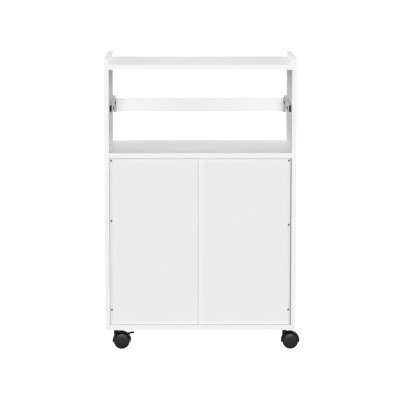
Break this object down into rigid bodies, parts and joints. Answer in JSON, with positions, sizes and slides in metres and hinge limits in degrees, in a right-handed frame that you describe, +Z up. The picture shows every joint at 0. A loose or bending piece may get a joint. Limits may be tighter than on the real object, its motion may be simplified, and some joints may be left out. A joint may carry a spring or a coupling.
{
  "type": "microwave cart",
  "caption": "Rolling cart with an open appliance bay, a pull-out front rail on ball-bearing slides, a two-door cabinet with a shelf, and hooded twin-wheel casters.",
  "frame": {"origin": "on the floor, under the middle of the cart's whole footprint, knobs and trailing casters included", "axes": "+Z up; -Y out of the doors and the pull-out rail; +Y out of the back panel; +X towards the end with the braked casters"},
  "size_m": [0.614, 0.424, 0.918],
  "materials": {
    "white_board": "white melamine-coated particleboard, satin, fine pebble",
    "back_hardboard": "off-white lacquered hardboard, satin",
    "white_plastic": "extruded or moulded, satin",
    "dark_screw": "dark zinc, satin",
    "zinc_steel": "zinc-plated",
    "bright_steel": "nickel-plated, satin",
    "beech": "fluted beech, raw",
    "black_nylon": "moulded nylon, fine texture",
    "wheel_nylon": "moulded nylon, satin",
    "magnet": "ceramic magnet between steel plates"
  },
  "bodies": {
    "cabinet": {"side_panel_left": "white_board", "side_panel_right": "white_board", "top_shelf": "white_board", "microwave_shelf": "white_board", "bottom_panel": "white_board", "back_panel_left": "back_hardboard", "back_panel_right": "back_hardboard", "back_joint_strip": "white_plastic", "back_cleats": "white_board", "back_panel_screws": "dark_screw", "adjustable_shelf": "white_board", "shelf_pins": "bright_steel", "cam_locks": "zinc_steel", "cam_bolts": "bright_steel", "wood_dowels": "beech", "slide_outer_members": "zinc_steel", "slide_wall_screws": "bright_steel", "slide_buffers": "black_nylon", "hinge_frame_leaves": "bright_steel", "hinge_pins": "bright_steel", "hinge_frame_screws": "zinc_steel", "catch_housings": "white_plastic", "catch_magnets": "magnet", "caster_plates": "zinc_steel", "caster_kingpins": "bright_steel", "caster_plate_screws": "zinc_steel"},
    "left_door": {"door_left": "white_board", "knob_left": "bright_steel", "hinge_door_leaves_left": "bright_steel", "door_screws_left": "zinc_steel", "strike_plate_left": "bright_steel"},
    "right_door": {"door_right": "white_board", "knob_right": "bright_steel", "hinge_door_leaves_right": "bright_steel", "door_screws_right": "zinc_steel", "strike_plate_right": "bright_steel"},
    "pull_out_rail": {"front_rail": "white_board", "rail_brackets": "zinc_steel", "rail_screws": "bright_steel", "slide_inner_members": "zinc_steel", "slide_levers": "black_nylon"},
    "left_ball_cage": {"ball_cage_left": "bright_steel", "slide_balls_left": "bright_steel"},
    "right_ball_cage": {"ball_cage_right": "bright_steel", "slide_balls_right": "bright_steel"},
    "front_left_caster": {"hood_front_left": "black_nylon"},
    "front_left_wheels": {"wheels_front_left": "wheel_nylon", "axle_front_left": "bright_steel"},
    "front_right_caster": {"hood_front_right": "black_nylon"},
    "front_right_wheels": {"wheels_front_right": "wheel_nylon", "axle_front_right": "bright_steel"},
    "front_right_brake": {"brake_pedal_front_right": "black_nylon"},
    "rear_left_caster": {"hood_rear_left": "black_nylon"},
    "rear_left_wheels": {"wheels_rear_left": "wheel_nylon", "axle_rear_left": "bright_steel"},
    "rear_right_caster": {"hood_rear_right": "black_nylon"},
    "rear_right_wheels": {"wheels_rear_right": "wheel_nylon", "axle_rear_right": "bright_steel"},
    "rear_right_brake": {"brake_pedal_rear_right": "black_nylon"}
  },
  "joints": [
    {"name": "left_door_hinge", "type": "hinge", "parent": "cabinet", "child": "left_door", "pos_m": [-0.2758, -0.1909, 0.3445], "axis": [0, 0, -1], "range_deg": [0, 170]},
    {"name": "right_door_hinge", "type": "hinge", "parent": "cabinet", "child": "right_door", "pos_m": [0.2898, -0.1909, 0.3445], "axis": [0, 0, 1], "range_deg": [0, 170]},
    {"name": "rail_slide", "type": "slide", "parent": "cabinet", "child": "pull_out_rail", "axis": [0, -1, 0], "range_m": [0, 0.24]},
    {"name": "left_cage_slide", "type": "slide", "parent": "cabinet", "child": "left_ball_cage", "axis": [0, -1, 0], "range_m": [0, 0.12]},
    {"name": "right_cage_slide", "type": "slide", "parent": "cabinet", "child": "right_ball_cage", "axis": [0, -1, 0], "range_m": [0, 0.12]},
    {"name": "front_left_swivel", "type": "hinge", "parent": "cabinet", "child": "front_left_caster", "pos_m": [-0.259, -0.145, 0.05], "axis": [0, 0, 1], "continuous": true},
    {"name": "front_left_roll", "type": "hinge", "parent": "front_left_caster", "child": "front_left_wheels", "pos_m": [-0.277, -0.145, 0.025], "axis": [0, 1, 0], "continuous": true},
    {"name": "front_right_swivel", "type": "hinge", "parent": "cabinet", "child": "front_right_caster", "pos_m": [0.273, -0.145, 0.05], "axis": [0, 0, 1], "continuous": true},
    {"name": "front_right_roll", "type": "hinge", "parent": "front_right_caster", "child": "front_right_wheels", "pos_m": [0.255, -0.145, 0.025], "axis": [0, 1, 0], "continuous": true},
    {"name": "front_right_brake_press", "type": "hinge", "parent": "front_right_caster", "child": "front_right_brake", "pos_m": [0.262, -0.145, 0.0535], "axis": [0, -1, 0], "range_deg": [0, 5]},
    {"name": "rear_left_swivel", "type": "hinge", "parent": "cabinet", "child": "rear_left_caster", "pos_m": [-0.259, 0.169, 0.05], "axis": [0, 0, 1], "continuous": true},
    {"name": "rear_left_roll", "type": "hinge", "parent": "rear_left_caster", "child": "rear_left_wheels", "pos_m": [-0.277, 0.169, 0.025], "axis": [0, 1, 0], "continuous": true},
    {"name": "rear_right_swivel", "type": "hinge", "parent": "cabinet", "child": "rear_right_caster", "pos_m": [0.273, 0.169, 0.05], "axis": [0, 0, 1], "continuous": true},
    {"name": "rear_right_roll", "type": "hinge", "parent": "rear_right_caster", "child": "rear_right_wheels", "pos_m": [0.255, 0.169, 0.025], "axis": [0, 1, 0], "continuous": true},
    {"name": "rear_right_brake_press", "type": "hinge", "parent": "rear_right_caster", "child": "rear_right_brake", "pos_m": [0.262, 0.169, 0.0535], "axis": [0, -1, 0], "range_deg": [0, 5]}
  ],
  "couplings": [
    {"joint": "left_cage_slide", "follows": "rail_slide", "ratio": 0.5},
    {"joint": "right_cage_slide", "follows": "rail_slide", "ratio": 0.5}
  ]
}
